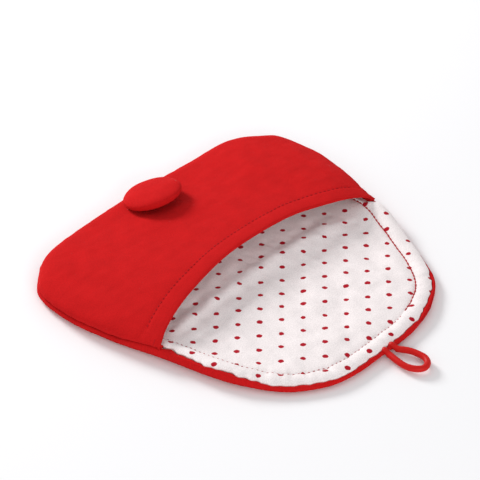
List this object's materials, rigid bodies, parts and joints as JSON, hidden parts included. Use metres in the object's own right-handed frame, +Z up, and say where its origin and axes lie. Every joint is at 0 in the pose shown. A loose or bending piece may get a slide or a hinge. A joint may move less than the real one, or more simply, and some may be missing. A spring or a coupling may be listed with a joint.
{
  "type": "oven mitt",
  "caption": "Flat padded oven mitt with a fabric lining, a hand pocket over its finger end, a covered button and a hanging loop.",
  "frame": {"origin": "under the middle of the pad, on the face that it rests on", "axes": "+Y towards the closed finger edge, +X across the hand, +Z up off the table"},
  "size_m": [0.2206, 0.2413, 0.0269],
  "materials": {
    "red_cloth": "matte woven cotton",
    "white_lining": "matte printed cotton with small red dots",
    "wadding": "needled cotton wadding",
    "thread": "polyester sewing thread",
    "loop_cord": "smooth round cord",
    "button_metal": "stamped steel"
  },
  "bodies": {
    "finger_half": {"back_cover_finger": "red_cloth", "wadding_finger": "wadding", "lining_finger": "white_lining", "seam_thread_finger": "thread", "rim_stitching_finger": "thread", "pocket_cover": "red_cloth", "pocket_wadding": "wadding", "pocket_lining": "white_lining", "mouth_facing": "red_cloth", "mouth_stitching": "thread", "corner_tack_left": "thread", "corner_tack_right": "thread", "button_anchor": "thread"},
    "palm_half": {"back_cover_palm": "red_cloth", "wadding_palm": "wadding", "lining_palm": "white_lining", "seam_thread_palm": "thread", "rim_stitching_palm": "thread", "loop_ends": "loop_cord", "loop_tack": "thread"},
    "hanging_loop": {"hanging_loop": "loop_cord"},
    "button_stem": {"thread_shank": "thread"},
    "button": {"button_eye": "button_metal", "button_back": "button_metal", "button_shell": "button_metal", "button_padding": "wadding", "button_cover": "red_cloth"}
  },
  "joints": [
    {"name": "palm_fold", "type": "hinge", "parent": "finger_half", "child": "palm_half", "pos_m": [0, -0.028, 0], "axis": [1, 0, 0], "range_deg": [-60, 150], "stiffness_Nm_per_rad": 0.05},
    {"name": "loop_swing", "type": "hinge", "parent": "palm_half", "child": "hanging_loop", "pos_m": [0, -0.1096, 0.003], "axis": [1, 0, 0], "range_deg": [-90, 90], "stiffness_Nm_per_rad": 0.002},
    {"name": "button_tilt", "type": "hinge", "parent": "finger_half", "child": "button_stem", "pos_m": [-0.00103, 0.08569, 0.01451], "axis": [1, 0, 0], "range_deg": [0, 11], "stiffness_Nm_per_rad": 0.01},
    {"name": "button_turn", "type": "hinge", "parent": "button_stem", "child": "button", "pos_m": [-0.0012, 0.08702, 0.0186], "axis": [-0.0415, 0.3095, 0.95], "range_deg": [-45, 45], "stiffness_Nm_per_rad": 0.002}
  ]
}
